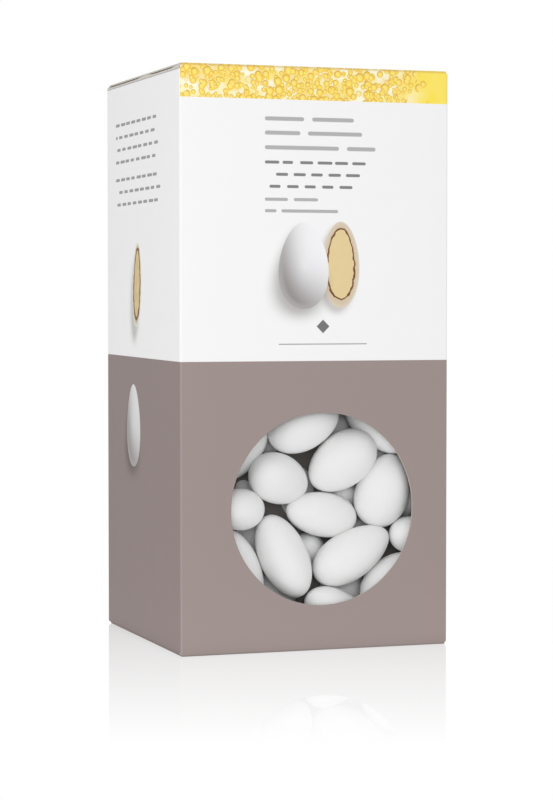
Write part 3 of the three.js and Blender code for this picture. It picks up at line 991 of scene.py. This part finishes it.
def core_faces(counts, corner):
    """The six sides of a block of cells, with their faces pointing out."""
    faces = []
    for axis in range(3):
        first, second = (axis + 1) % 3, (axis + 2) % 3
        for i in range(counts[first]):
            for j in range(counts[second]):
                ring = [(i, j), (i + 1, j), (i + 1, j + 1), (i, j + 1)]
                for end in (0, counts[axis]):
                    face = []
                    for a, b in ring if end else reversed(ring):
                        cell = [0, 0, 0]
                        cell[axis], cell[first], cell[second] = end, a, b
                        face.append(corner(tuple(cell)))
                    faces.append(face)
    return faces


def heap_core():
    low, high = [np.array(corner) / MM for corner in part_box("sugared_almonds")]
    low[1] = CORE_FRONT
    counts = np.ceil((high - low) / CORE_STEP).astype(int)
    index = {}
    faces = core_faces(counts, lambda cell: index.setdefault(cell, len(index)))
    points = low + (high - low) * np.array(list(index), float) / counts
    x, y, z = points.T
    waves = np.sin(x / SWELL_X + np.sin(z / SWELL_BEND)) * np.sin(z / SWELL_Z) * np.cos(y / SWELL_Y)
    inward = (low + high) / 2 - points
    inward /= np.linalg.norm(inward, axis=1)[:, None]
    heap_piece("heap_core", points + inward * (CORE_LUMP * np.abs(waves))[:, None], faces, deep_heap())


heap_core()


# Floor
# A white polished sheet, bright all over, with a faint mirror image of the carton's foot that fades out to
# the front and to the sides. It glows: plain white to the camera, and to the carton a set light, stronger
# close to it and dimmed at its foot as painted contact shade. From here on, sizes are in metres.
FLOOR_RADIUS = 6.0
FLOOR_SIDES = 48
VIEW_TURN = math.radians(19.2)  # how far to the left of the carton's front the camera stands
MIRROR_ROUGHNESS = 0.02
MIRROR_MOST = 0.38
MIRROR_WAY = Vector((math.sin(VIEW_TURN), math.cos(VIEW_TURN), 0.0))  # away from the camera
MIRROR_END = 0.226  # this far in front of the carton's middle the image has gone
MIRROR_SLOPE = 1.6  # for each metre
MIRROR_REACH = 0.34  # from the carton's foot, on all sides
# The floor glows in place of light bounced off it, and near the foot a painted contact shade dims that glow.
FLOOR_LIGHT = 0.79  # what the floor sends back to the carton
NEAR_LIGHT, NEAR_REACH = 0.25, 0.1  # and how much more of it close to the carton
CONTACT_REACH, CONTACT_SHADE = 0.005, 0.5  # and how much less where the carton stands on it


def floor_finish():
    material, shader, start = new_material("white_floor")
    tree = material.node_tree
    tree.nodes.remove(shader)
    place = start.add("ShaderNodeTexCoord", None, None, out="Object")
    x, y = place.parts()
    off_x = (abs(x) - HALF_WIDTH * MM).most(0.0)
    off_y = (abs(y) - HALF_DEPTH * MM).most(0.0)
    away = (off_x * off_x + off_y * off_y).root()
    # painted contact shade in the floor's glow
    close = 1 - (away / CONTACT_REACH).clamped()
    seen = start.add("ShaderNodeLightPath", None, None, out="Is Camera Ray")
    near = (1 - away / NEAR_REACH).clamped()
    given = FLOOR_LIGHT + near * NEAR_LIGHT - close * CONTACT_SHADE
    white = start.add("ShaderNodeEmission", None, {"Strength": given + seen * (1 - given)})
    polish = {"Color": WHITE, "Roughness": MIRROR_ROUGHNESS}
    mirror = start.add("ShaderNodeBsdfGlossy", {"distribution": "MULTI_GGX"}, polish)
    to_front = (place.along(MIRROR_WAY) + MIRROR_END) * MIRROR_SLOPE
    to_sides = (1 - away / MIRROR_REACH) * MIRROR_MOST
    share = to_front.least(to_sides).clamped()
    surface = start.add("ShaderNodeMixShader", None, {0: share, 1: white, 2: mirror})
    start.feed(tree.nodes["Material Output"], {"Surface": surface})
    return material


def floor():
    turns = steps(0, 2 * math.pi, FLOOR_SIDES)[:-1]
    corners = [(FLOOR_RADIUS * math.cos(a), FLOOR_RADIUS * math.sin(a), 0.0) for a in turns]
    mesh = bpy.data.meshes.new("floor")
    mesh.from_pydata(corners, [], [list(range(len(corners)))])
    mesh.materials.append(floor_finish())
    sheet = bpy.data.objects.new("floor", mesh)
    bpy.context.scene.collection.objects.link(sheet)


floor()


# Light
# A white studio: even soft light from all round, stronger in a wide patch from the front left, with two small
# lamps at the front and at the left. What the camera and polished surfaces see of the studio is plain white.
SKY_LIGHT = 0.58
PATCH_LIGHT = 0.37
PATCH_EDGE = 0.1  # cosine of the angle at which the patch has faded out
PATCH_AZIMUTH, PATCH_ELEVATION = math.radians(-42), math.radians(14)
LAMP_SIZE = 0.3
LAMPS = [  # name, place, place it points at, power
    ("front_lamp", Vector((-0.28, -0.87, 0.22)), Vector((0.0, 0.0, 0.1)), 1.22),
    ("left_lamp", Vector((-0.2, -0.17, 0.17)), Vector((-0.05, -0.01, 0.13)), 0.06),
]


def direction(azimuth, elevation):
    """From the carton to a place round from its front to the right by azimuth, and up by elevation."""
    level = math.cos(elevation)
    return Vector((math.sin(azimuth) * level, -math.cos(azimuth) * level, math.sin(elevation)))


def studio():
    world = bpy.data.worlds.new("white_studio")
    world.use_nodes = True
    start = Wire(world.node_tree)
    way = start.add("ShaderNodeTexCoord", None, None, out="Generated")
    facing = way.along(direction(PATCH_AZIMUTH, PATCH_ELEVATION))
    light = SKY_LIGHT + facing.rise(PATCH_EDGE, 1.0) * PATCH_LIGHT
    seen = start.add("ShaderNodeLightPath", None, None, out="Is Camera Ray")
    mirrored = start.add("ShaderNodeLightPath", None, None, out="Is Glossy Ray")
    strength = light + seen.most(mirrored) * (1.0 - light)
    start.feed(world.node_tree.nodes["Background"], {"Color": WHITE, "Strength": strength})
    bpy.context.scene.world = world


def lamp(name, place, target, power):
    light = bpy.data.lights.new(name, "AREA")
    light.shape = "DISK"
    light.size = LAMP_SIZE
    light.energy = power
    holder = bpy.data.objects.new(name, light)
    holder.location = place
    holder.rotation_euler = (target - place).to_track_quat("-Z", "Y").to_euler()
    holder.visible_camera = False
    bpy.context.scene.collection.objects.link(holder)


studio()
for lamp_values in LAMPS:
    lamp(*lamp_values)


# Camera
# Level with the upper half of the carton and to the left of it, at the distance and lens of the photograph.
CAMERA_PLACE = Vector((-0.29007, -0.83793, 0.12263))
CAMERA_ELEVATION = math.radians(2.325)
FRAME_HEIGHT = 800
FOCAL_PIXELS = 2397.4
SENSOR = 36.0
NEAR_CLIP, FAR_CLIP = 0.01, 50.0


def camera():
    data = bpy.data.cameras.new("camera")
    data.sensor_width = SENSOR
    data.lens = FOCAL_PIXELS * SENSOR / FRAME_HEIGHT
    data.clip_start, data.clip_end = NEAR_CLIP, FAR_CLIP
    eye = bpy.data.objects.new("camera", data)
    eye.location = CAMERA_PLACE
    eye.rotation_euler = (-direction(-VIEW_TURN, CAMERA_ELEVATION)).to_track_quat("-Z", "Y").to_euler()
    bpy.context.scene.collection.objects.link(eye)
    bpy.context.scene.camera = eye


camera()
bpy.context.scene.view_settings.view_transform = "Standard"
